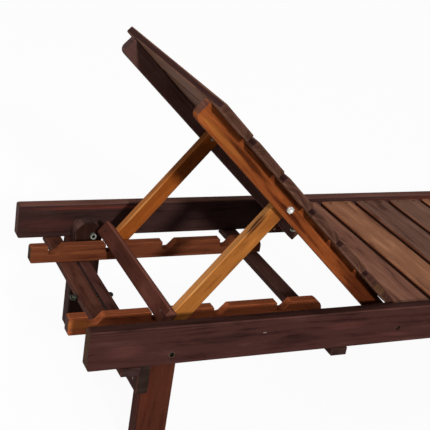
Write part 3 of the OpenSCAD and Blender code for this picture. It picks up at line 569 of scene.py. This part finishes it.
def metal(name):
    """Plated steel with cloudy tarnish and fine scratches."""
    colour, tarnish, rough, metallic, socket_radius = METALS[name]
    material, graph = new_material(name)
    place = graph.node("TexCoord").outputs["Object"]
    cloud = graph.noise(place, TARNISH_SCALE, TARNISH_DETAIL, TARNISH_ROUGHNESS)[0]
    scratch = graph.noise(graph.vector("MULTIPLY", place, SCRATCH_WAVES), detail=SCRATCH_DETAIL)[0]
    shade = graph.mix(graph.smooth(cloud, *TARNISH_LEVELS), srgb(colour), srgb(tarnish))
    # Painted shade in the socket recesses
    if socket_radius:
        shade = socket_shaded(graph, place, shade, socket_radius)
    bump = graph.node("Bump", {
        "Height": scratch, "Strength": METAL_BUMP_STRENGTH, "Distance": METAL_BUMP_DEPTH,
    })
    graph.surface(graph.node("BsdfPrincipled", {
        "Base Color": shade, "Normal": bump.outputs[0], "Metallic": metallic,
        "Roughness": graph.math("ADD", rough, graph.math("MULTIPLY", scratch, SCRATCH_ROUGHNESS)),
    }))
    return material


def dress(name, material):
    """Gives a CAD node its finish."""
    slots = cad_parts[name].data.materials
    slots.clear()
    slots.append(material)


def dress_timbers():
    boards = list(BOARDS)
    for number, tone in enumerate(SEAT_TONES, 1):
        boards.append((f"seat_slat_{number}", "y", 0.0, tone))
    for number, tone in enumerate(BACK_TONES, 1):
        boards.append((f"backrest_slat_{number}", "y", BACK_TILT, tone))
    for seed, (name, axis, tilt, tone) in enumerate(boards, 1):
        dress(name, timber(name, axis, tilt, tone, seed))


def dress_metals():
    for finish, fasteners in FASTENERS.items():
        material = metal(finish)
        for name in fasteners:
            dress(name, material)


def add_object(name, data):
    """An object of the scene that is no part of the lounger."""
    made = bpy.data.objects.new(name, data)
    bpy.context.scene.collection.objects.link(made)
    return made


def make_floor():
    """Pale floor that shows near white and keeps a faint shadow."""
    mesh = bpy.data.meshes.new("floor")
    signs = [(-1, -1), (1, -1), (1, 1), (-1, 1)]
    corners = [(FLOOR_HALF * x, FLOOR_HALF * y, 0.0) for x, y in signs]
    mesh.from_pydata(corners, [], [(0, 1, 2, 3)])
    material, graph = new_material("floor")
    light_path = graph.node("LightPath").outputs
    indirect = graph.math(
        "MAXIMUM", light_path["Is Glossy Ray"], light_path["Is Transmission Ray"]
    )
    seen = graph.math("MAXIMUM", light_path["Is Camera Ray"], indirect)
    tint = graph.grey(graph.smooth(seen, 0.0, 1.0, FLOOR_TINT, FLOOR_SEEN_TINT))
    lit = graph.node("BsdfDiffuse", {"Color": tint})
    glow = graph.node("Emission", {"Color": FLOOR_GLOW_COLOUR, "Strength": 1.0})
    share = graph.math("MULTIPLY", seen, FLOOR_GLOW_SHARE)
    graph.surface(graph.node("MixShader", {0: share, 1: lit.outputs[0], 2: glow.outputs[0]}))
    mesh.materials.append(material)
    add_object("floor", mesh)


def make_world():
    """Soft light from all round, and white where the camera looks past the floor."""
    world = bpy.data.worlds.new("studio")
    bpy.context.scene.world = world
    world.use_nodes = True
    graph = Graph(world.node_tree)
    seen = graph.node("LightPath").outputs["Is Camera Ray"]
    soft = graph.node("Background", {"Color": SOFT_COLOUR, "Strength": SOFT_STRENGTH})
    white = graph.node("Background", {"Color": BACKDROP_COLOUR, "Strength": 1.0})
    mixed = graph.node("MixShader", {0: seen, 1: soft.outputs[0], 2: white.outputs[0]})
    graph.node("OutputWorld", {"Surface": mixed.outputs[0]})


def add_light(name, light, offset):
    """Hangs a light at an offset from the lit point, and turns it to that point."""
    lamp = add_object(name, light)
    lamp.location = LIT_POINT + offset
    lamp.rotation_euler = (-offset).to_track_quat("-Z", "Y").to_euler()


def make_lights():
    key = bpy.data.lights.new("key", "SUN")
    key.energy = KEY_STRENGTH
    key.angle = KEY_SPREAD
    add_light("key", key, -KEY_DISTANCE * KEY_TRAVEL)
    top = bpy.data.lights.new("top", "AREA")
    top.shape = "SQUARE"
    top.size = TOP_SIZE
    top.energy = TOP_POWER
    add_light("top", top, TOP_OFFSET)


def make_camera():
    lens = bpy.data.cameras.new("camera")
    lens.sensor_fit = "HORIZONTAL"
    lens.sensor_width = CAMERA_SENSOR
    lens.lens = CAMERA_LENS
    camera = add_object("camera", lens)
    back = CAMERA_RIGHT.cross(CAMERA_UP)
    turn = Matrix((CAMERA_RIGHT, CAMERA_UP, back)).transposed()
    camera.matrix_world = Matrix.Translation(CAMERA_AT) @ turn.to_4x4()
    bpy.context.scene.camera = camera


make_camera()
make_floor()
make_world()
make_lights()
dress_timbers()
dress_metals()
bpy.context.scene.view_settings.view_transform = "Standard"
